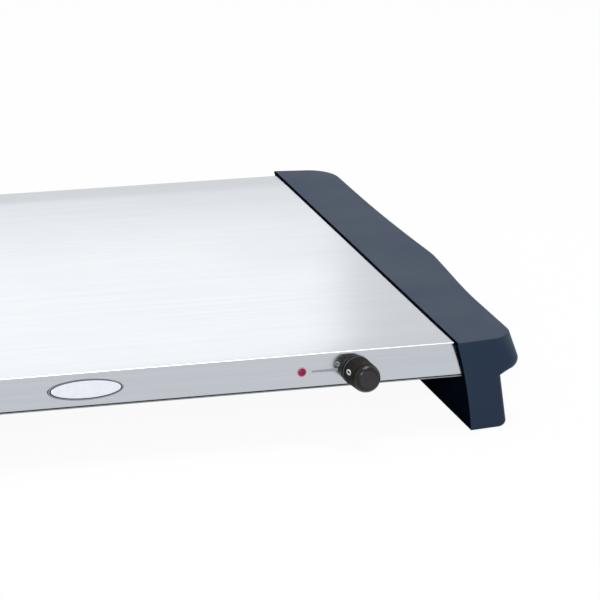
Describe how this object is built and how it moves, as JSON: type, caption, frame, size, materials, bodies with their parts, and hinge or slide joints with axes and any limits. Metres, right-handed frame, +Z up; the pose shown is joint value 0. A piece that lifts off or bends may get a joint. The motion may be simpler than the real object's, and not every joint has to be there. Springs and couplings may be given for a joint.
{
  "type": "electric food warmer tray",
  "caption": "Low electric warming tray: a brushed steel surface between two dark moulded end caps with grips, one control knob and an indicator light at the front.",
  "frame": {"origin": "on the table, under the middle of the whole outline", "axes": "+X to the right of someone facing the knob, +Y to the back, +Z up"},
  "size_m": [0.6518, 0.4396, 0.0675],
  "materials": {
    "steel_top": "fine brushed grain running left to right",
    "pan_steel": "plain zinc-coated sheet",
    "cap_plastic": "fine moulded texture, dark slate",
    "foot_rubber": "matt",
    "screw_steel": "zinc plated",
    "spreader": "mill finish",
    "element_tube": "heat-darkened steel",
    "brass": "turned brass",
    "insulation": "needled mineral fibre",
    "phenolic": "moulded thermostat case",
    "knob_plastic": "black, finely fluted",
    "lens_red": "dark crimson, polished",
    "lamp_glass": "clear neon lamp",
    "badge_face": "pale silver, left bare",
    "cutoff_case": "black cut-out case with plated cup",
    "connector": "heat-resistant sleeve",
    "block_plastic": "cream",
    "gland_plastic": "black",
    "wire_brown": "insulated lead",
    "wire_red": "insulated lead",
    "wire_blue": "insulated lead",
    "wire_green": "insulated lead",
    "wire_grey": "thin sleeved lead"
  },
  "bodies": {
    "tray": {"top_panel": "steel_top", "base_pan": "pan_steel", "pan_screws": "screw_steel", "end_cap_right": "cap_plastic", "end_cap_left": "cap_plastic", "rubber_feet": "foot_rubber", "cap_screws_right": "screw_steel", "cap_screws_left": "screw_steel", "heat_spreader": "spreader", "heating_element": "element_tube", "element_bars": "pan_steel", "element_ferrules": "brass", "insulation_pad": "insulation", "thermostat_body": "phenolic", "thermostat_bushing": "brass", "bushing_washer": "screw_steel", "bushing_nut": "screw_steel", "thermostat_tabs": "screw_steel", "indicator_lens": "lens_red", "neon_lamp": "lamp_glass", "lamp_clip": "screw_steel", "oval_badge": "badge_face", "thermal_cutoff": "cutoff_case", "cutoff_screws": "screw_steel", "tab_connectors": "connector", "terminal_block": "block_plastic", "block_screw": "screw_steel", "cord_gland": "gland_plastic", "gland_nut": "gland_plastic", "earth_screw": "brass", "earth_tag": "screw_steel", "lead_live": "wire_brown", "lead_switched": "wire_red", "lead_neutral": "wire_blue", "lead_cutoff": "wire_blue", "lead_lamp": "wire_grey", "lead_earth": "wire_green"},
    "knob": {"control_knob": "knob_plastic", "thermostat_shaft": "screw_steel", "knob_spring": "screw_steel"}
  },
  "joints": [
    {"name": "knob_turn", "type": "hinge", "parent": "tray", "child": "knob", "pos_m": [0.196, -0.19436, 0.05144], "axis": [0, 0.9969, -0.0785], "range_deg": [0, 270]}
  ]
}
